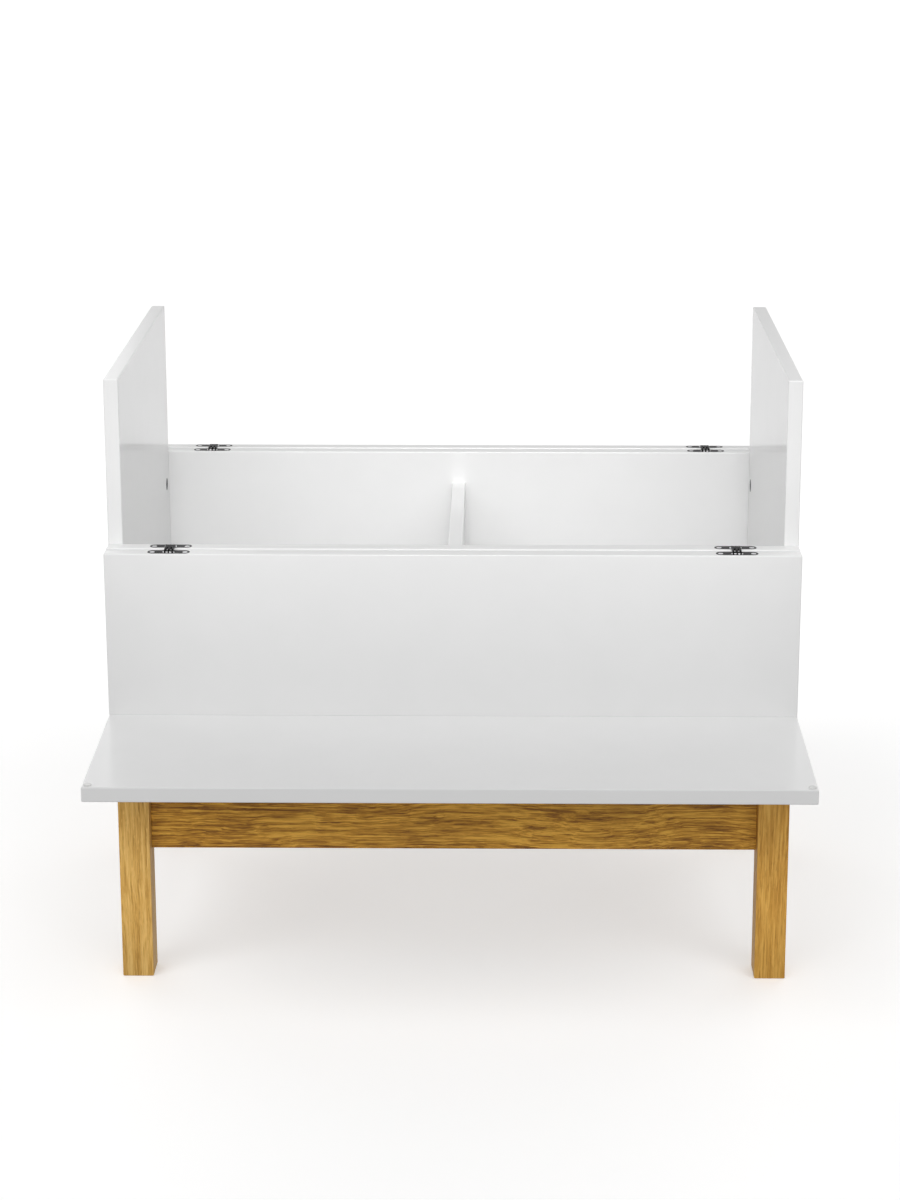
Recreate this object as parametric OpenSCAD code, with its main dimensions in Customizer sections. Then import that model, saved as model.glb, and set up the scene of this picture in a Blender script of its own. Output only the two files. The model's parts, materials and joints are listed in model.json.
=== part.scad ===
// Two-compartment storage bench: a white board box on an oak frame, with two L-shaped lids.
// The origin is on the floor under the middle of the box. +Z is up, -Y is the front, X runs along the length.
// Both lids are drawn fully open, turned down outside the walls. Their joints close them over the box.

/* [Box] */
// Length of the walls and lids, and over the side panels
box_w = 740; // [700:10:800]
// Depth of the side panels, front to back
side_depth = 400; // [380:5:420]
// Thickness of every board
board = 16; // [16:0.5:18]
// Height of the side panels' top edges above the floor
side_top = 677; // [650:1:700]
// Height of the front and rear walls' top edges above the floor
wall_top = 496; // [480:1:510]
// Distance of the divider's top edge below the wall tops
divider_drop = 39; // [36:1:60]

/* [Frame] */
// Height of the oak frame
frame_h = 212; // [200:1:230]
// Side of each square leg
leg_w = 34; // [34:1:40]
// Distance of the legs inside the box's outer faces
leg_inset = 3; // [0:1:8]
// Height of the aprons
apron_h = 66; // [64:1:80]
// Thickness of the aprons
apron_t = 18; // [16:1:20]
// Chamfer round each foot
foot_chamfer = 1; // [0.5:0.5:3]
// Side of the triangular corner blocks
block_side = 46; // [44:1:60]

/* [Lids] */
// Gap between a wall and its hanging flap
open_gap = 5; // [5:0.1:6]
// Angle that each lid opens
open_angle = 181.23; // [180:0.01:181.3]
// Gap between a closed flap and the edge of the wall under it
edge_gap = 1; // [1:0.1:1.4]
// Gap between the two closed leaves
leaf_gap = 2; // [2:0.5:4]
// Clearance between a closed flap and the side panels
lid_clear = 0.4; // [0.3:0.1:0.6]
// Diameter of a bumper pad
bumper_d = 8; // [7:0.5:10]
// Thickness of a bumper pad
bumper_t = 1.2; // [1:0.1:2]

/* [Hinges] */
// Distance of each hinge's middle from the end of the box
hinge_inset = 68.5; // [60:0.5:120]
// Length of a cup plate
plate_len = 45; // [44:1:50]
// Width of a cup plate
plate_w = 11.6; // [11.6:0.1:12]
// Length of the cup body below its plate
cup_len = 26; // [22:1:28]
// Depth of the cup body
cup_depth = 14.4; // [14.4:0.1:15]
// Diameter of an arm pin
pin_d = 1.8; // [1.6:0.1:2]
// Diameter of a sliding pin
slide_pin_d = 1.6; // [1.4:0.1:1.8]
// Diameter of a hinge screw's head
screw_head_d = 5.6; // [5:0.1:6]

/* [Hidden] */
$fn = 48;
eps = 1;

lacquer = "whitesmoke";
oak = "burlywood";
oak_dark = "peru";
black_metal = "#202020";
bright_metal = "silver";

// Box
half_w = box_w / 2;
side_y = side_depth / 2;
wall_y = side_y + board;
inner_x = half_w - board;
floor_z = frame_h + board;
divider_top = wall_top - divider_drop;

// Frame
leg_x = half_w - leg_inset;
leg_y = wall_y - leg_inset;
leg_in_x = leg_x - leg_w;
leg_in_y = leg_y - leg_w;
apron_z = frame_h - apron_h;

// Lid axis, in the middle of the gap between a wall and its open flap
axis_y = -(wall_y + (open_gap + lid_clear) / 2);
axis_z = wall_top + edge_gap / 2;
flap_y = -wall_y - lid_clear;
flap_bottom = wall_top + edge_gap;
pad_gap = 0.3;
leaf_under = side_top + bumper_t + pad_gap;
leaf_len = -leaf_gap / 2 - flap_y;
bumper_inset = 6;
bumper_back = 6.5;
bumper_round = 0.6;
lid_dowel_x = [-335, -200, -70, 70, 200, 335];

// Hinge, measured from the lid axis with the lid closed
hinge_x = half_w - hinge_inset;
cup_inset = 8;
cup_y = open_gap / 2 + cup_inset;
plate_t = 1.6;
fit = 0.1;
pocket_w = 10.4;
pocket_near = 5.1;
pocket_far = 15.7;
pocket_depth = 12.8;
hinge_screw_x = 17.5;
hinge_screw_d = 3;
hinge_screw_len = 19;
hinge_screw_point = 3;
recess_depth = 1.1;
recess_w = 0.7;
recess_reach = 0.62;

// Hinge arms: one of three long leaves and one of two short leaves, which pass between them
pin_off = 6.7;
pin_len = 13.6;
arm_reach = 8.8;
bridge_t = 2.2;
eye_r = 1.4;
arm_foot = 6;
arm_lip = 1.2;
leaf_t = 1.7;
long_leaves = [-4, 0, 4];
long_tip = 9;
short_leaves = [-2, 2];
short_tip = 1.6;

// Sliding pins, measured from the arm pin with the lid closed, and the grooves that they run in
slide_out = 5.8;
slide_down = 4.3;
slide_r = norm([slide_out, slide_down]);
slide_len = 12.6;
groove_side = 0.2;
groove_len = 13.2;

// Fasteners
dowel_d = 8;
dowel_len = 29;
dowel_shallow = 11;
dowel_deep = 19;
dowel_mid = (dowel_deep - dowel_shallow) / 2;
wall_dowel_above_cam = 45;
bottom_dowel_x = 240;
bottom_dowel_y = 150;
divider_dowel_y = 100;
divider_dowel_in = 60;
apron_dowels_along_x = [10, 46];
apron_dowels_along_y = [22, 58];
cam_d = 15;
cam_h = 12.4;
cam_back = 24;
lowest_cam = 40;
highest_cam = 35;
cam_levels = [frame_h + lowest_cam, (frame_h + wall_top) / 2, wall_top - highest_cam];
bottom_cam_y = 80;
cam_bolt_room = 0.8;
cam_cross_len = 10;
cam_cross_w = 1.4;
cam_cross_depth = 2.5;
bolt_d = 6.4;
bolt_thread_d = 5;
bolt_neck_d = 4;
bolt_neck_len = 8;
bolt_head_len = 3;
bolt_chamfer = 1;
box_screw_d = 4;
box_screw_len = 44;
box_screw_head_t = 3;
box_screw_point = 5;
counterbore_d = 8.8;
counterbore_depth = 8;
block_h = 40;
block_hole_in = 15;
block_corner = 6;

// ---- Helpers ----

// Children on both sides of the middle plane x = 0
module both_x() {
    children();
    mirror([1, 0, 0]) children();
}

// Children on both sides of the middle plane y = 0
module both_y() {
    children();
    mirror([0, 1, 0]) children();
}

// A block between two corners
module block(low, high) {
    translate(low) cube(high - low);
}

// A cylinder along X whose middle is at the origin
module rod_x(d, len) {
    rotate([0, 90, 0]) cylinder(d = d, h = len, center = true);
}

// A cylinder along Y whose middle is at the origin
module rod_y(d, len) {
    rotate([90, 0, 0]) cylinder(d = d, h = len, center = true);
}

// ---- Fastener sets, drawn with more size where they cut their own holes ----

// Dowels between the walls and the side panels, under the divider and round the bottom panel
module box_dowel_set(grow = 0) {
    d = dowel_d + grow;
    len = dowel_len + grow;
    y = -side_y + dowel_mid;
    panel_z = frame_h + board / 2;
    both_x() both_y() {
        for (i = [0, 1])
            translate([half_w - board / 2, y, cam_levels[i] + wall_dowel_above_cam]) rod_y(d, len);
        translate([bottom_dowel_x, y, panel_z]) rod_y(d, len);
        translate([inner_x - dowel_mid, bottom_dowel_y, panel_z]) rod_x(d, len);
    }
    both_y() {
        for (z = [floor_z + divider_dowel_in, divider_top - divider_dowel_in])
            translate([0, y, z]) rod_y(d, len);
        translate([0, divider_dowel_y, floor_z + dowel_mid]) cylinder(d = d, h = len, center = true);
    }
}

// Places of the cams: three up each side panel's front and rear edges, two at each end of the bottom panel
module at_side_cams() {
    both_x() both_y() for (z = cam_levels) translate([inner_x, -side_y + cam_back, z]) children();
}

module at_bottom_cams() {
    both_x() both_y() translate([inner_x - cam_back, bottom_cam_y, frame_h]) children();
}

// Holes for the cams and their bolts
module cam_holes() {
    seat_h = cam_h + fit + eps;
    shank_mid = cam_back / 2 + fit;
    thread_mid = cam_back + dowel_shallow / 2;
    at_side_cams() {
        rotate([0, 90, 0]) translate([0, 0, -eps]) cylinder(d = cam_d + fit, h = seat_h);
        translate([board / 2, -shank_mid, 0]) rod_y(bolt_d + fit * 2, cam_back);
        translate([board / 2, -thread_mid, 0]) rod_y(bolt_thread_d + fit, dowel_shallow + fit);
    }
    at_bottom_cams() {
        translate([0, 0, -eps]) cylinder(d = cam_d + fit, h = seat_h);
        translate([shank_mid, 0, board / 2]) rod_x(bolt_d + fit * 2, cam_back);
        translate([thread_mid, 0, board / 2]) rod_x(bolt_thread_d + fit, dowel_shallow + fit);
    }
}

// One cam, its face at z = 0 and its body above, open towards -X for the bolt
module cam() {
    reach = cam_cross_len / 2;
    side = cam_cross_w / 2;
    difference() {
        cylinder(d = cam_d, h = cam_h);
        translate([-cam_d / 2, 0, board / 2]) rod_x(bolt_d + cam_bolt_room, cam_d + eps * 2);
        for (turn = [0, 90]) rotate([0, 0, turn])
            block([-reach, -side, -eps], [reach, side, cam_cross_depth]);
    }
}

// One cam bolt along +Y: threaded end at the origin's far side, waisted neck and round head in the cam
module cam_bolt() {
    thread_r = bolt_thread_d / 2;
    head_y = cam_back - bolt_head_len;
    neck_y = head_y - bolt_neck_len;
    rotate([-90, 0, 0]) rotate_extrude() polygon([
        [0, -dowel_shallow], [thread_r - bolt_chamfer / 2, -dowel_shallow],
        [thread_r, bolt_chamfer - dowel_shallow], [thread_r, 0], [bolt_d / 2, 0],
        [bolt_d / 2, neck_y - bolt_chamfer], [bolt_neck_d / 2, neck_y], [bolt_neck_d / 2, head_y],
        [bolt_d / 2, head_y], [bolt_d / 2, cam_back], [0, cam_back]
    ]);
}

// Dowels between the aprons and the legs: the ones along X and along Y are at different heights
module frame_dowel_set(grow = 0) {
    d = dowel_d + grow;
    len = dowel_len + grow;
    apron_mid_y = leg_in_y + apron_t / 2;
    apron_mid_x = leg_in_x + apron_t / 2;
    both_x() both_y() {
        for (up = apron_dowels_along_x) translate([leg_in_x, apron_mid_y, apron_z + up]) rod_x(d, len);
        for (up = apron_dowels_along_y) translate([apron_mid_x, leg_in_y, apron_z + up]) rod_y(d, len);
    }
}

// Places of the screws that hold the frame to the box
module at_box_screws() {
    both_x() both_y() translate([leg_in_x - block_hole_in, leg_in_y - block_hole_in, 0]) children();
}

module box_screw_holes() {
    at_box_screws() translate([0, 0, frame_h - block_h]) {
        translate([0, 0, -eps]) cylinder(d = counterbore_d, h = counterbore_depth + eps);
        cylinder(d = box_screw_d + fit * 2, h = counterbore_depth + box_screw_len);
    }
}

// ---- Hinge parts, drawn round the lid axis on the wall's side, with the lid closed ----

// Children at the two hinges of one lid, with the lid axis as their X axis
module at_hinges() {
    translate([0, axis_y, axis_z]) for (x = [-hinge_x, hinge_x]) translate([x, 0, 0]) children();
}

// A plate with round ends
module stadium(len, width, height) {
    r = width / 2;
    translate([-len / 2 + r, 0, 0]) cylinder(r = r, h = height);
    translate([len / 2 - r, 0, 0]) cylinder(r = r, h = height);
    translate([-len / 2 + r, -r, 0]) cube([len - width, width, height]);
}

// Places of the two screws of a cup, at the plate's face
module at_cup_screws() {
    for (x = [-hinge_screw_x, hinge_screw_x]) translate([x, cup_y, -edge_gap / 2]) children();
}

// Outside of a cup: the plate and the body under it
module cup_outside(grow = 0) {
    translate([0, cup_y, -edge_gap / 2 - plate_t - grow / 2])
        stadium(plate_len + grow, plate_w + grow, plate_t + grow / 2 + (grow > 0 ? eps : 0));
    translate([-(cup_len + grow) / 2, cup_y - (plate_w + grow) / 2, -edge_gap / 2 - cup_depth - grow / 2])
        cube([cup_len + grow, plate_w + grow, cup_depth - plate_t / 2]);
}

// A groove in both sides of a cup's pocket, round the arm pin and open at the plate's face
module slide_groove() {
    side = slide_pin_d / 2 + groove_side;
    intersection() {
        translate([0, pin_off, -pin_off]) difference() {
            rod_x((slide_r + side) * 2, groove_len);
            rod_x((slide_r - side) * 2, groove_len + eps * 2);
        }
        block([-groove_len, pin_off, -pin_off - slide_down - side], [groove_len, pocket_far, eps]);
    }
}

module cup() {
    difference() {
        cup_outside();
        block([-pocket_w / 2, pocket_near, -edge_gap / 2 - pocket_depth], [pocket_w / 2, pocket_far, eps]);
        slide_groove();
        translate([0, pin_off, -pin_off]) rod_x(pin_d + fit, pin_len + fit * 2);
        at_cup_screws() {
            translate([0, 0, -plate_t])
                cylinder(r1 = hinge_screw_d / 2 + fit, r2 = screw_head_d / 2 + fit, h = plate_t);
            translate([0, 0, -plate_t - eps]) cylinder(r = hinge_screw_d / 2 + fit, h = plate_t + eps);
            cylinder(r = screw_head_d / 2 + fit, h = eps);
        }
    }
}

// What a hinge cuts out of a board: the cup's seat and the screws' pilot holes
module cup_seat() {
    cup_outside(grow = fit * 2);
    at_cup_screws() translate([0, 0, -hinge_screw_len - fit])
        cylinder(d = hinge_screw_d + fit, h = hinge_screw_len);
}

// A countersunk wood screw with a cross recess
module cup_screw() {
    head_r = screw_head_d / 2 - fit;
    shank_r = hinge_screw_d / 2;
    arm_r = head_r * recess_reach;
    difference() {
        rotate_extrude() polygon([
            [0, -fit], [head_r, -fit], [head_r, -fit * 2], [shank_r, -plate_t + fit],
            [shank_r, -hinge_screw_len + hinge_screw_point], [0, -hinge_screw_len]
        ]);
        for (turn = [20, 110]) rotate([0, 0, turn])
            block([-arm_r, -recess_w / 2, -recess_depth], [arm_r, recess_w / 2, eps]);
    }
}

// Side view of one leaf with the lid closed: a foot round the arm pin, which also holds the sliding pin,
// and a bridge that ends past the lid axis by tip
module leaf_outline(tip) {
    bridge_x = arm_reach - bridge_t;
    bridge_len = pin_off + tip - bridge_t / 2;
    translate([pin_off, -pin_off]) difference() {
        union() {
            circle(r = eye_r);
            translate([-eye_r, -arm_foot]) square([eye_r * 2, arm_foot]);
            intersection() {
                circle(r = arm_reach, $fn = 96);
                translate([0, -arm_foot]) square([arm_reach, arm_foot + arm_lip]);
            }
            translate([bridge_x, 0]) square([bridge_t, bridge_len]);
            translate([bridge_x + bridge_t / 2, bridge_len]) circle(d = bridge_t);
        }
        circle(d = pin_d + fit / 2);
        translate([slide_out, -slide_down]) circle(d = slide_pin_d + fit / 2);
    }
}

// Swings an arm's pieces from where the closed lid puts them to where the open one does
module swung() {
    translate([0, pin_off, -pin_off]) rotate([open_angle / 2, 0, 0])
        translate([0, -pin_off, pin_off]) children();
}

// The leaves of one arm
module arm(places, tip) {
    swung() for (x = places)
        translate([x - leaf_t / 2, 0, 0]) rotate([90, 0, 90]) linear_extrude(leaf_t) leaf_outline(tip);
}

// The two pins of one arm: the one it turns on, and the sliding one
module arm_pins() {
    swung() translate([0, pin_off, -pin_off]) {
        rod_x(pin_d, pin_len);
        translate([0, slide_out, -slide_down]) rod_x(slide_pin_d, slide_len);
    }
}

// ---- Placing the lids ----

// Turns the closed front lid to its open place
module opened() {
    translate([0, axis_y, axis_z]) rotate([open_angle, 0, 0]) translate([0, -axis_y, -axis_z]) children();
}

// Mirrors a hinge part from the wall's edge to the closed flap's edge
module lid_side() {
    translate([0, 0, axis_z]) mirror([0, 0, 1]) translate([0, 0, -axis_z]) children();
}

// Makes the rear piece from the front one
module at_rear() {
    mirror([0, 1, 0]) children();
}

// ---- Frame ----

// One leg, from its outer bottom corner inwards, with the foot's edges chamfered
module leg() {
    c = foot_chamfer;
    outline = [[0, c], [c, 0], [leg_w - c, 0], [leg_w, c], [leg_w, frame_h], [0, frame_h]];
    color(oak) difference() {
        translate([leg_in_x, -leg_y, 0]) intersection() {
            translate([0, leg_w, 0]) rotate([90, 0, 0]) linear_extrude(leg_w) polygon(outline);
            rotate([90, 0, 90]) linear_extrude(leg_w) polygon(outline);
        }
        frame_dowel_set(fit);
    }
}

module leg_front_left() { mirror([1, 0, 0]) leg(); }
module leg_front_right() { leg(); }
module leg_rear_left() { mirror([1, 0, 0]) at_rear() leg(); }
module leg_rear_right() { at_rear() leg(); }

module apron_front() {
    color(oak_dark) difference() {
        block([-leg_in_x, -leg_in_y - apron_t, apron_z], [leg_in_x, -leg_in_y, frame_h]);
        frame_dowel_set(fit);
    }
}

module apron_rear() { at_rear() apron_front(); }

module apron_right() {
    color(oak_dark) difference() {
        block([leg_in_x, -leg_in_y, apron_z], [leg_in_x + apron_t, leg_in_y, frame_h]);
        frame_dowel_set(fit);
    }
}

module apron_left() { mirror([1, 0, 0]) apron_right(); }

module corner_blocks() {
    color(oak) difference() {
        both_x() both_y() translate([leg_in_x, leg_in_y, frame_h - block_h]) linear_extrude(block_h)
            polygon([
                [0, 0], [-block_side, 0], [-block_side, -block_corner],
                [-block_corner, -block_side], [0, -block_side]
            ]);
        box_screw_holes();
    }
}

module frame_dowels() { color(oak) frame_dowel_set(); }

// One screw up from the bottom of its counterbore, its head downwards
module box_screw() {
    head_r = box_screw_d;
    shank_r = box_screw_d / 2;
    rotate_extrude() polygon([
        [0, -box_screw_head_t], [head_r, -box_screw_head_t],
        [head_r, -shank_r - fit * 2], [shank_r, -fit * 2],
        [shank_r, box_screw_len - box_screw_point - eps], [0, box_screw_len - eps]
    ]);
}

module box_screws() {
    color(bright_metal) at_box_screws() translate([0, 0, frame_h - block_h + counterbore_depth]) box_screw();
}

// ---- Box ----

module bottom_panel() {
    color(lacquer) difference() {
        block([-inner_x, -side_y, frame_h], [inner_x, side_y, floor_z]);
        box_dowel_set(fit);
        cam_holes();
        box_screw_holes();
    }
}

module side_panel_right() {
    color(lacquer) difference() {
        block([inner_x, -side_y, frame_h], [half_w, side_y, side_top]);
        box_dowel_set(fit);
        cam_holes();
    }
}

module side_panel_left() { mirror([1, 0, 0]) side_panel_right(); }

module front_wall() {
    color(lacquer) difference() {
        block([-half_w, -wall_y, frame_h], [half_w, -side_y, wall_top]);
        box_dowel_set(fit);
        cam_holes();
        at_hinges() cup_seat();
    }
}

module rear_wall() { at_rear() front_wall(); }

module divider() {
    color(lacquer) difference() {
        block([-board / 2, -side_y, floor_z], [board / 2, side_y, divider_top]);
        box_dowel_set(fit);
    }
}

module box_dowels() { color(oak) box_dowel_set(); }

module cam_locks() {
    color(black_metal) {
        at_side_cams() rotate([0, 0, 90]) rotate([90, 0, 0]) cam();
        at_bottom_cams() mirror([1, 0, 0]) cam();
    }
}

module cam_bolts() {
    color(bright_metal) {
        at_side_cams() translate([board / 2, -cam_back, 0]) cam_bolt();
        at_bottom_cams() translate([cam_back, 0, board / 2]) rotate([0, 0, 90]) cam_bolt();
    }
}

// ---- Lids ----

// Dowels in the glued corner between a flap and its leaf, drawn closed
module lid_dowel_set(grow = 0) {
    for (x = lid_dowel_x) translate([x, flap_y + board / 2, leaf_under - dowel_deep + fit])
        cylinder(d = dowel_d + grow, h = dowel_len + grow);
}

module front_flap() {
    color(lacquer) opened() difference() {
        block([-half_w, flap_y, flap_bottom], [half_w, flap_y + board, leaf_under]);
        lid_dowel_set(fit);
        lid_side() at_hinges() cup_seat();
    }
}

module front_leaf() {
    color(lacquer) opened() difference() {
        block([-half_w, flap_y, leaf_under], [half_w, flap_y + leaf_len, leaf_under + board]);
        lid_dowel_set(fit);
    }
}

module front_bumpers() {
    r = bumper_d / 2;
    place = [half_w - bumper_inset, flap_y + leaf_len - bumper_back, leaf_under - bumper_t];
    color("white", 0.5) opened() both_x() translate(place) rotate_extrude()
        polygon([[0, 0], [r - bumper_round, 0], [r, bumper_round], [r, bumper_t], [0, bumper_t]]);
}

module front_lid_dowels() { color(oak) opened() lid_dowel_set(); }
module rear_flap() { at_rear() front_flap(); }
module rear_leaf() { at_rear() front_leaf(); }
module rear_bumpers() { at_rear() front_bumpers(); }
module rear_lid_dowels() { at_rear() front_lid_dowels(); }

// ---- Hinges ----

// A hinge part at both hinges of the front wall, or of the front lid
module on_wall() { at_hinges() children(); }
module on_lid() { opened() lid_side() at_hinges() children(); }

module front_wall_cups() { color(black_metal) on_wall() cup(); }
module front_wall_screws() { color(bright_metal) on_wall() at_cup_screws() cup_screw(); }
module front_wall_pins() { color(bright_metal) on_wall() arm_pins(); }
module front_lid_cups() { color(black_metal) on_lid() cup(); }
module front_lid_screws() { color(bright_metal) on_lid() at_cup_screws() cup_screw(); }
module front_lid_pins() { color(bright_metal) on_lid() arm_pins(); }
module rear_wall_cups() { at_rear() front_wall_cups(); }
module rear_wall_screws() { at_rear() front_wall_screws(); }
module rear_wall_pins() { at_rear() front_wall_pins(); }
module rear_lid_cups() { at_rear() front_lid_cups(); }
module rear_lid_screws() { at_rear() front_lid_screws(); }
module rear_lid_pins() { at_rear() front_lid_pins(); }

// All four hinges are fitted the same way round: the long leaves turn in the cup that is nearer the front
module front_wall_arms() { color(black_metal) on_wall() arm(short_leaves, short_tip); }
module front_lid_arms() { color(black_metal) on_lid() arm(long_leaves, long_tip); }
module rear_wall_arms() { color(black_metal) at_rear() on_wall() arm(long_leaves, long_tip); }
module rear_lid_arms() { color(black_metal) at_rear() on_lid() arm(short_leaves, short_tip); }

leg_front_left();
leg_front_right();
leg_rear_left();
leg_rear_right();
apron_front();
apron_rear();
apron_left();
apron_right();
corner_blocks();
frame_dowels();
box_screws();
bottom_panel();
side_panel_left();
side_panel_right();
front_wall();
rear_wall();
divider();
box_dowels();
cam_locks();
cam_bolts();
front_flap();
front_leaf();
front_bumpers();
front_lid_dowels();
rear_flap();
rear_leaf();
rear_bumpers();
rear_lid_dowels();
front_wall_cups();
front_wall_screws();
front_wall_arms();
front_wall_pins();
front_lid_cups();
front_lid_screws();
front_lid_arms();
front_lid_pins();
rear_wall_cups();
rear_wall_screws();
rear_wall_arms();
rear_wall_pins();
rear_lid_cups();
rear_lid_screws();
rear_lid_arms();
rear_lid_pins();
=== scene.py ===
# The storage bench's looks: white lacquered boards, an oak frame and black concealed hinges.
import json
import math

import bmesh
import bpy
from mathutils import Matrix, Vector


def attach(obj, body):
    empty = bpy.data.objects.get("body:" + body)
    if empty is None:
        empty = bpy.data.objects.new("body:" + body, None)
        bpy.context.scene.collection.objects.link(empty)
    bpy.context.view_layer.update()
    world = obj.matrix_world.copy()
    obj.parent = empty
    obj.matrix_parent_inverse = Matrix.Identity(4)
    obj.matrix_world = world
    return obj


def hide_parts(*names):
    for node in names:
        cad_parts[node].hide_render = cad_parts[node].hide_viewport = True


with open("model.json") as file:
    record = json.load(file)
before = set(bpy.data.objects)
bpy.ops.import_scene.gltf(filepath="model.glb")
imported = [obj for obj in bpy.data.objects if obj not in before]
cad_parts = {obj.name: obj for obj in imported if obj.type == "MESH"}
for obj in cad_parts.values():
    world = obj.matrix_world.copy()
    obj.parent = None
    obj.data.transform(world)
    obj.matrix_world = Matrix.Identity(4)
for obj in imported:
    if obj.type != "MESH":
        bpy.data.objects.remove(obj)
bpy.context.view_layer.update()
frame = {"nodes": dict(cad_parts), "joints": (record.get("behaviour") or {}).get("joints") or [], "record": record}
nodes = frame["nodes"]
joints = {joint["name"]: joint for joint in frame["joints"]}
node_body = {
    node: body
    for body, members in frame["record"]["behaviour"]["bodies"].items()
    for node in members
}
node_slot = {part["node"]: part["material_slot"] for part in frame["record"]["subparts"]}

MM = 0.001
QUARTER = math.pi / 2
LIDS = ("front", "rear")
BOARDS = ("bottom_panel", "side_panel_left", "side_panel_right", "front_wall", "rear_wall", "divider",
          "front_flap", "front_leaf", "rear_flap", "rear_leaf")

# Roundings: a free edge of white board, an edge along a joint between boards, and any edge of oak
FREE_RADIUS = 1.4 * MM
SEAM_RADIUS = 0.3 * MM
OAK_RADIUS = 0.7 * MM
ROUND_SEGMENTS = 4
# An edge counts as on its board's box within NEAR, and as sharp past SHARP
NEAR = 0.02 * MM
SHARP = math.radians(40)
# Vertices closer than WELD are merged, and faces flatter than FLAT are joined
WELD = 0.001 * MM
FLAT = math.radians(0.4)
# Places of the probes that look for a neighbour: out from the face, and in from the edge
PROBE_OUT = 0.5 * MM
PROBE_IN = 3 * MM
PROBE_PARTS = (0.1, 0.5, 0.9)

FLOOR_RADIUS = 14
BACKDROP_RADIUS = 13.9
BACKDROP_DEPTH = 12
STAGE_VERTICES = 128
PAPER_GLOW = 0.31
WORLD_BRIGHTNESS = 0.365
SUN_SIZE = 45


# ---- Shader helpers ----

class Shader:
    """A node material built from short calls: texture nodes feed one Principled shader."""

    def __init__(self, name, **constants):
        self.material = bpy.data.materials.new(name)
        self.material.use_nodes = True
        self.tree = self.material.node_tree
        self.tree.nodes.clear()
        output = self.tree.nodes.new("ShaderNodeOutputMaterial")
        self.bsdf = self.tree.nodes.new("ShaderNodeBsdfPrincipled")
        self.link(self.bsdf.outputs["BSDF"], output.inputs["Surface"])
        for socket, value in constants.items():
            self.bsdf.inputs[socket.replace("_", " ")].default_value = value
        self.coords = self.tree.nodes.new("ShaderNodeTexCoord").outputs["Object"]

    def link(self, source, target):
        self.tree.links.new(source, target)

    def node(self, kind, **settings):
        made = self.tree.nodes.new("ShaderNode" + kind)
        for key, value in settings.items():
            setattr(made, key, value)
        return made

    def fill(self, made, **inputs):
        """Links or sets inputs by name (spaces as underscores)."""
        for key, value in inputs.items():
            socket = made.inputs[key.replace("_", " ")]
            if isinstance(value, bpy.types.NodeSocket):
                self.link(value, socket)
            else:
                socket.default_value = value

    def math(self, operation, first, second):
        made = self.node("Math", operation=operation)
        for index, value in enumerate((first, second)):
            if isinstance(value, bpy.types.NodeSocket):
                self.link(value, made.inputs[index])
            else:
                made.inputs[index].default_value = value
        return made.outputs[0]

    def moved(self, vector, location=(0, 0, 0), rotation=(0, 0, 0), scale=(1, 1, 1)):
        made = self.node("Mapping")
        self.fill(made, Vector=vector, Location=location, Rotation=rotation, Scale=scale)
        return made.outputs[0]

    def noise(self, vector, scale, detail, roughness=0.5):
        made = self.node("TexNoise")
        self.fill(made, Vector=vector, Scale=scale, Detail=detail, Roughness=roughness)
        return made.outputs["Fac"]

    def ramp(self, factor, stops):
        """A colour ramp; each stop is (place, colour or grey)."""
        made = self.node("ValToRGB")
        ramp = made.color_ramp
        while len(ramp.elements) < len(stops):
            ramp.elements.new(0.5)
        for element, (place, colour) in zip(ramp.elements, stops):
            element.position = place
            element.color = (colour,) * 3 + (1,) if isinstance(colour, (int, float)) else (*colour, 1)
        self.link(factor, made.inputs[0])
        return made.outputs[0]

    def mix(self, factor, first, second, blend="MIX"):
        made = self.node("Mix", data_type="RGBA", blend_type=blend)
        for socket, value in ((made.inputs[0], factor), (made.inputs[6], first), (made.inputs[7], second)):
            if isinstance(value, bpy.types.NodeSocket):
                self.link(value, socket)
            else:
                socket.default_value = (*value, 1) if isinstance(value, tuple) else value
        return made.outputs[2]

    def spread(self, value, low, high):
        """Maps 0..1 to low..high."""
        made = self.node("MapRange")
        self.fill(made, Value=value)
        made.inputs["To Min"].default_value = low
        made.inputs["To Max"].default_value = high
        return made.outputs[0]

    def bump(self, height, distance, strength, under=None):
        made = self.node("Bump")
        self.fill(made, Height=height, Distance=distance, Strength=strength)
        if under is not None:
            self.link(under, made.inputs["Normal"])
        return made.outputs[0]

    def set(self, **inputs):
        """Links or sets inputs of the Principled shader."""
        self.fill(self.bsdf, **inputs)


# ---- Materials ----

def white_lacquer():
    """Sprayed satin lacquer: a fine orange peel, a slow waviness and faint rub marks in the gloss."""
    m = Shader("white_lacquer", IOR=1.5)
    m.bsdf.inputs["Coat Weight"].default_value = 0.3
    m.bsdf.inputs["Coat Roughness"].default_value = 0.1
    peel = m.noise(m.coords, 900, detail=1.5)
    wave = m.noise(m.coords, 22, detail=2)
    rubbed = m.moved(m.coords, rotation=(0.4, 0.3, 0.2), scale=(40, 9, 9))
    rubs = m.noise(rubbed, 1.0, detail=5, roughness=0.7)
    tone = m.ramp(wave, [(0.3, (0.85, 0.851, 0.849)), (0.7, (0.862, 0.862, 0.861))])
    normal = m.bump(wave, 0.0003, 0.12)
    peeled = m.bump(peel, 0.00003, 0.35, under=normal)
    m.set(Base_Color=tone, Roughness=m.spread(rubs, 0.27, 0.4), Normal=peeled)
    return m.material


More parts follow.
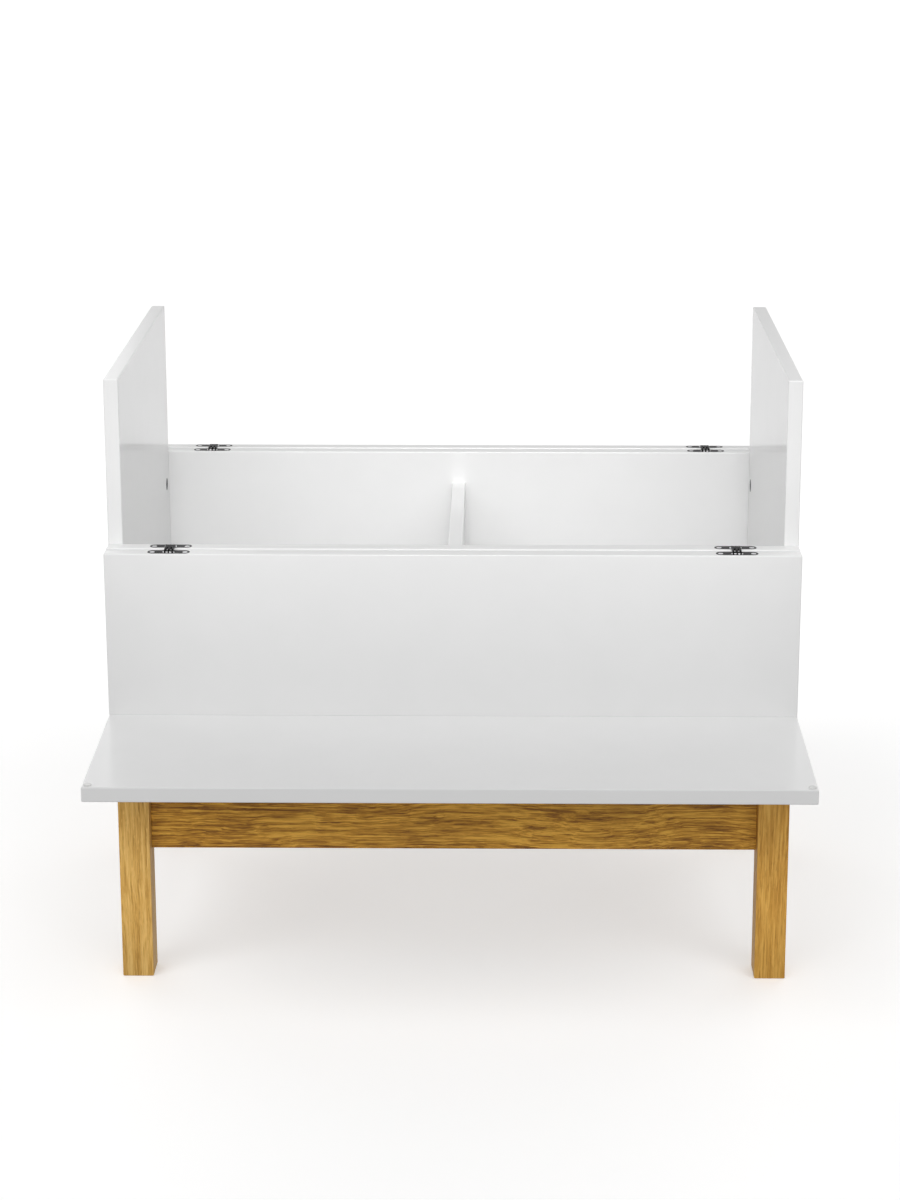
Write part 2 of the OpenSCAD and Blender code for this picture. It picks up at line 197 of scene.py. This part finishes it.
def oak(name, light, mid, dark, turn, seed, sway=1.0, contrast=1.0):
    """Oiled oak. turn maps the object's axes so that the grain runs along the texture's X axis."""
    m = Shader(name, IOR=1.46, Specular_IOR_Level=0.3)
    grain = m.moved(m.coords, location=seed, rotation=turn)
    # Slow sideways sway of the grain, with a little ripple on it
    sway_noise = m.noise(m.moved(grain, scale=(5, 9, 9)), 1.0, detail=1)
    ripple = m.noise(m.moved(grain, scale=(30, 40, 40)), 1.0, detail=2)
    offset = m.math("ADD", m.math("MULTIPLY", m.math("SUBTRACT", sway_noise, 0.5), 0.03 * sway),
                    m.math("MULTIPLY", m.math("SUBTRACT", ripple, 0.5), 0.004 * sway))
    shift = m.node("CombineXYZ")
    m.link(offset, shift.inputs["Y"])
    m.link(offset, shift.inputs["Z"])
    bend = m.node("VectorMath", operation="ADD")
    m.link(grain, bend.inputs[0])
    m.link(shift.outputs[0], bend.inputs[1])
    bent = bend.outputs[0]
    # Early and late wood: broad bands, streaks a few millimetres apart and fine lines
    broad = m.noise(m.moved(bent, scale=(2.5, 50, 50)), 1.0, detail=2)
    streaks = m.noise(m.moved(bent, location=(2, 5, 1), scale=(9, 240, 240)), 1.0, detail=4, roughness=0.68)
    fine = m.noise(m.moved(bent, location=(5, 1, 4), scale=(26, 640, 640)), 1.0, detail=3, roughness=0.65)
    rings = m.math("ADD", m.math("MULTIPLY", broad, 0.14),
                   m.math("ADD", m.math("MULTIPLY", streaks, 0.44), m.math("MULTIPLY", fine, 0.42)))
    wood = m.ramp(rings, [(0.5 - 0.12 / contrast, dark), (0.495, mid), (0.5 + 0.1 / contrast, light)])
    # Open pores: short dark dashes along the grain, more of them in the early wood
    dashes = m.noise(m.moved(bent, scale=(60, 1700, 1700)), 1.0, detail=2, roughness=0.7)
    pores = m.ramp(dashes, [(0.57, 0.0), (0.65, 1.0)])
    early = m.ramp(rings, [(0.42, 1.0), (0.56, 0.3)])
    pore_mask = m.math("MULTIPLY", pores, early)
    wood = m.mix(m.math("MULTIPLY", pore_mask, 0.6), wood, tuple(0.42 * c for c in dark))
    # Pale ray flecks across the grain
    flecks = m.ramp(m.noise(m.moved(bent, location=(3, 1, 2), scale=(90, 420, 420)), 1.0, detail=1),
                    [(0.66, 0.0), (0.74, 1.0)])
    wood = m.mix(m.math("MULTIPLY", flecks, 0.25), wood, tuple(min(1.0, 1.25 * c) for c in light))
    # Slow change of tone along the piece
    cloud = m.ramp(m.noise(m.moved(grain, scale=(6, 14, 14)), 1.0, detail=2), [(0.3, 0.88), (0.7, 1.1)])
    wood = m.mix(1.0, wood, cloud, blend="MULTIPLY")
    rough = m.math("ADD", m.spread(fine, 0.4, 0.56), m.math("MULTIPLY", pore_mask, 0.2))
    height = m.math("SUBTRACT", m.math("MULTIPLY", streaks, 0.35), pore_mask)
    m.set(Base_Color=wood, Roughness=rough, Normal=m.bump(height, 0.00016, 0.7))
    return m.material


def beech():
    """Plain pale dowel wood with small dark flecks."""
    m = Shader("beech", IOR=1.46)
    grain = m.noise(m.coords, 260, detail=4, roughness=0.6)
    flecks = m.ramp(m.noise(m.coords, 900, detail=1), [(0.62, 0.0), (0.72, 1.0)])
    tone = m.ramp(grain, [(0.3, (0.52, 0.36, 0.22)), (0.7, (0.66, 0.49, 0.32))])
    tone = m.mix(m.math("MULTIPLY", flecks, 0.5), tone, (0.33, 0.2, 0.11))
    m.set(Base_Color=tone, Roughness=m.spread(grain, 0.5, 0.7), Normal=m.bump(grain, 0.0001, 0.4))
    return m.material


def coated_metal(name, colour, worn, rough_low, rough_high, metallic):
    """Metal under a thin coat: cast grain, fine scratches and a lighter tone where it has been rubbed."""
    m = Shader(name, Metallic=metallic)
    cast = m.noise(m.coords, 2600, detail=3, roughness=0.6)
    brushed = m.moved(m.coords, rotation=(0.2, 0.5, 0.6), scale=(300, 4200, 4200))
    scratch = m.noise(brushed, 1.0, detail=3)
    rub = m.ramp(m.noise(m.coords, 420, detail=4, roughness=0.7), [(0.58, 0.0), (0.74, 1.0)])
    tone = m.mix(m.math("MULTIPLY", rub, 0.5), colour, worn)
    rough = m.spread(scratch, rough_low, rough_high)
    m.set(Base_Color=tone, Roughness=rough, Normal=m.bump(cast, 0.00002, 0.6))
    return m.material


def clear_bumper():
    """Clear soft plastic that has yellowed a little, with dust in its gloss."""
    m = Shader("clear_bumper", IOR=1.48)
    m.bsdf.inputs["Transmission Weight"].default_value = 0.12
    dust = m.noise(m.coords, 1500, detail=3)
    tone = m.ramp(dust, [(0.35, (0.82, 0.82, 0.81)), (0.65, (0.89, 0.89, 0.88))])
    m.set(Base_Color=tone, Roughness=m.spread(dust, 0.14, 0.34), Normal=m.bump(dust, 0.00002, 0.3))
    return m.material


def floor_paper():
    """Pale seamless paper with a little tooth and a glow of its own."""
    m = Shader("floor_paper", IOR=1.4)
    tooth = m.noise(m.coords, 380, detail=3)
    tone = m.ramp(m.noise(m.coords, 1.5, detail=2), [(0.3, 0.945), (0.7, 0.955)])
    m.set(Base_Color=tone, Roughness=m.spread(tooth, 0.75, 0.9), Normal=m.bump(tooth, 0.0002, 0.15))
    m.bsdf.inputs["Emission Color"].default_value = (1, 1, 1, 1)
    m.bsdf.inputs["Emission Strength"].default_value = PAPER_GLOW
    return m.material


# Turns that lay an oak piece's grain along X, Y or Z
ALONG_X = (0, 0, 0)
ALONG_Y = (0, 0, -QUARTER)
ALONG_Z = (0, QUARTER, 0)
LEG_TONES = dict(light=(0.765, 0.46, 0.127), mid=(0.615, 0.332, 0.071), dark=(0.425, 0.205, 0.033))
APRON_TONES = dict(light=(0.73, 0.395, 0.056), mid=(0.46, 0.213, 0.021), dark=(0.185, 0.071, 0.005))
# Each leg's tones are the leg tones times one of these
PALE = (1.08, 1.14, 1.3)
PLAIN = (1.0, 1.0, 1.0)
DEEP = (0.92, 0.87, 0.7)
LEG_TINTS = {
    "leg_front_left": PALE,
    "leg_front_right": DEEP,
    "leg_rear_left": PLAIN,
    "leg_rear_right": PALE,
}

hinge_black = coated_metal("hinge_black", colour=(0.012, 0.012, 0.013), worn=(0.06, 0.06, 0.062),
                           rough_low=0.25, rough_high=0.5, metallic=0.7)
bright_steel = coated_metal("bright_steel", colour=(0.9, 0.9, 0.91), worn=(0.96, 0.96, 0.96),
                            rough_low=0.2, rough_high=0.38, metallic=0.45)
dark_zinc = coated_metal("dark_zinc", colour=(0.05, 0.05, 0.055), worn=(0.14, 0.14, 0.145),
                         rough_low=0.35, rough_high=0.6, metallic=0.8)
slot_materials = {
    "white_lacquer": white_lacquer(),
    "beech": beech(),
    "hinge_black": hinge_black,
    "bright_steel": bright_steel,
    "dark_zinc": dark_zinc,
    "clear_bumper": clear_bumper(),
}


def oak_for(node):
    """Each leg and apron is its own cut of oak."""
    index = sorted(nodes).index(node)
    seed = (1.7 * index, 0.9 * index + 0.31, 0.37 * index)
    if node.startswith("apron"):
        turn = ALONG_Y if node.endswith(("left", "right")) else ALONG_X
        return oak("oak_" + node, turn=turn, seed=seed, contrast=1.35, **APRON_TONES)
    tint = LEG_TINTS.get(node, PLAIN)
    tones = {tone: tuple(c * t for c, t in zip(colour, tint)) for tone, colour in LEG_TONES.items()}
    return oak("oak_" + node, turn=ALONG_Z, seed=seed, sway=0.35, contrast=1.1, **tones)


# ---- Meshes ----

def lid_unturn(node):
    """The matrix that closes a lid's piece, so that it lies along the axes; no turn for other pieces."""
    for lid in LIDS:
        if node_body[node] == lid + "_lid":
            joint = joints[lid + "_lid_hinge"]
            pivot = Vector(joint["pos_m"])
            turn = Matrix.Rotation(math.radians(joint["range_deg"][1]), 4, Vector(joint["axis"]))
            return Matrix.Translation(pivot) @ turn @ Matrix.Translation(-pivot)
    return Matrix.Identity(4)


def box_as_closed(node):
    """The lowest and highest corner of a board, with its lid closed."""
    unturn = lid_unturn(node)
    places = [unturn @ vertex.co for vertex in nodes[node].data.vertices]
    return [Vector([pick(p[i] for p in places) for i in range(3)]) for pick in (min, max)]


def against_neighbour(node, point):
    """Whether a point lies in another board of the same body."""
    return any(
        node_body[other] == node_body[node] and other != node
        and all(low[i] <= point[i] <= high[i] for i in range(3))
        for other, (low, high) in closed_boxes.items()
    )


def edge_radius(node, ends):
    """The rounding of a board's edge, or none where it isn't on an edge of the board's own box.

    It is less along a joint between boards, apart from the side panels, which are rounded alike all round.
    """
    low, high = closed_boxes[node]
    outward = []
    for i in range(3):
        for side, limit in ((-1, low[i]), (1, high[i])):
            if all(abs(end[i] - limit) < NEAR for end in ends):
                outward.append(Vector([side if i == k else 0 for k in range(3)]))
    if len(outward) < 2:
        return 0
    if node.startswith(("leg_", "apron_")):
        return OAK_RADIUS
    if node.startswith("side_panel_"):
        return FREE_RADIUS
    first, second = outward[:2]
    for part in PROBE_PARTS:
        point = ends[0].lerp(ends[1], part)
        probes = [point + PROBE_OUT * out - PROBE_IN * inward
                  for out, inward in ((first, second), (second, first))]
        if not any(against_neighbour(node, probe) for probe in probes):
            return FREE_RADIUS
    return SEAM_RADIUS


def eased_board(node, material):
    """Replaces a board with the same board, its outer edges rounded over."""
    mesh = bmesh.new()
    mesh.from_mesh(nodes[node].data)
    bmesh.ops.remove_doubles(mesh, verts=mesh.verts, dist=WELD)
    bmesh.ops.dissolve_limit(mesh, angle_limit=FLAT, verts=mesh.verts, edges=mesh.edges)
    unturn = lid_unturn(node)
    weight = mesh.edges.layers.float.new("bevel_weight_edge")
    for edge in mesh.edges:
        edge[weight] = edge_radius(node, [unturn @ v.co for v in edge.verts]) / FREE_RADIUS
        edge.smooth = edge[weight] > 0 or edge.calc_face_angle(0) < SHARP
    data = bpy.data.meshes.new("eased_" + node)
    mesh.to_mesh(data)
    mesh.free()
    data.polygons.foreach_set("use_smooth", [True] * len(data.polygons))
    data.materials.append(material)
    made = bpy.data.objects.new("eased_" + node, data)
    bpy.context.scene.collection.objects.link(made)
    rounded = made.modifiers.new("rounded_edges", "BEVEL")
    rounded.limit_method = "WEIGHT"
    rounded.width = FREE_RADIUS
    rounded.segments = ROUND_SEGMENTS
    rounded.use_clamp_overlap = False
    rounded.loop_slide = False
    split = made.modifiers.new("triangles", "TRIANGULATE")
    split.min_vertices = 5
    weigh = made.modifiers.new("weighted_normals", "WEIGHTED_NORMAL")
    weigh.keep_sharp = True
    weigh.weight = 100
    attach(made, node_body[node])
    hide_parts(node)


oaks = {node: oak_for(node) for node in sorted(nodes) if node_slot[node] in ("leg_oak", "apron_oak")}
oak_boards = [node for node in oaks if node.startswith(("leg_", "apron_"))]
closed_boxes = {node: box_as_closed(node) for node in (*BOARDS, *oak_boards)}

materials = {node: oaks[node] if node in oaks else slot_materials[node_slot[node]] for node in nodes}
for node in closed_boxes:
    eased_board(node, materials[node])

for node, made in nodes.items():
    made.data.materials.clear()
    made.data.materials.append(materials[node])


# ---- Floor, light and camera ----

def add_floor(paper):
    """A round paper floor, hidden from diffuse rays, which see the world's light from below instead."""
    bpy.ops.mesh.primitive_circle_add(vertices=STAGE_VERTICES, radius=FLOOR_RADIUS, fill_type="NGON")
    floor = bpy.context.object
    floor.name = "floor"
    floor.data.materials.append(paper)
    floor.visible_diffuse = False


def add_backdrop(paper):
    """A ring of the floor's paper behind everything, seen past the floor and lighting nothing."""
    bpy.ops.mesh.primitive_cylinder_add(vertices=STAGE_VERTICES, radius=BACKDROP_RADIUS,
                                        depth=BACKDROP_DEPTH, end_fill_type="NOTHING")
    backdrop = bpy.context.object
    backdrop.name = "backdrop"
    backdrop.data.materials.append(paper)
    for rays in ("diffuse", "glossy", "transmission", "shadow"):
        setattr(backdrop, "visible_" + rays, False)


def add_soft_sun(name, elevation, azimuth, strength):
    """A far, wide light. Azimuth 0 shines along +Y, and a positive one comes from the left."""
    data = bpy.data.lights.new(name, "SUN")
    data.energy = strength
    data.angle = math.radians(SUN_SIZE)
    light = bpy.data.objects.new(name, data)
    light.rotation_euler = (QUARTER - math.radians(elevation), 0, -math.radians(azimuth))
    bpy.context.scene.collection.objects.link(light)


def add_gridded_softbox(name, aim, elevation, distance, width, height, power, spread):
    """A box light with a grid: a beam little wider than the box itself, down from the front onto aim."""
    data = bpy.data.lights.new(name, "AREA")
    data.shape = "RECTANGLE"
    data.size = width
    data.size_y = height
    data.energy = power
    data.spread = math.radians(spread)
    light = bpy.data.objects.new(name, data)
    slope = math.radians(elevation)
    light.location = Vector(aim) + distance * Vector((0, -math.cos(slope), math.sin(slope)))
    light.rotation_euler = (QUARTER - slope, 0, 0)
    bpy.context.scene.collection.objects.link(light)


def add_world(brightness):
    world = bpy.data.worlds.new("studio")
    world.use_nodes = True
    world.node_tree.nodes["Background"].inputs["Color"].default_value = (1, 1, 1, 1)
    world.node_tree.nodes["Background"].inputs["Strength"].default_value = brightness
    bpy.context.scene.world = world


def add_camera():
    """The photograph's viewing angle: in front, a little right of the middle, 13 degrees down, long lens."""
    data = bpy.data.cameras.new("camera")
    data.sensor_width = 36
    data.lens = 78.78
    data.shift_x = -0.0182
    data.shift_y = -0.1667
    camera = bpy.data.objects.new("camera", data)
    camera.location = (0.04735, -2.902, 1.292)
    pitch = 0.2314
    yaw = -0.01007
    camera.rotation_euler = (QUARTER - pitch, 0, -yaw)
    bpy.context.scene.collection.objects.link(camera)
    bpy.context.scene.camera = camera


paper = floor_paper()
add_floor(paper)
add_backdrop(paper)
add_world(WORLD_BRIGHTNESS)
add_soft_sun("left_key", elevation=42, azimuth=38, strength=0.8)
add_soft_sun("right_key", elevation=42, azimuth=-32, strength=0.7)
add_soft_sun("left_rim", elevation=20, azimuth=150, strength=0.52)
add_soft_sun("right_rim", elevation=20, azimuth=-150, strength=0.48)
add_gridded_softbox("box_softbox", (0, 0, 0.53), elevation=24, distance=2.2, width=0.9, height=0.3,
                    power=0.4, spread=14)
add_gridded_softbox("leg_softbox", (0, -0.2, 0.105), elevation=10, distance=1.6, width=0.9, height=0.13,
                    power=0.14, spread=9)
add_camera()
bpy.context.scene.view_settings.view_transform = "Standard"
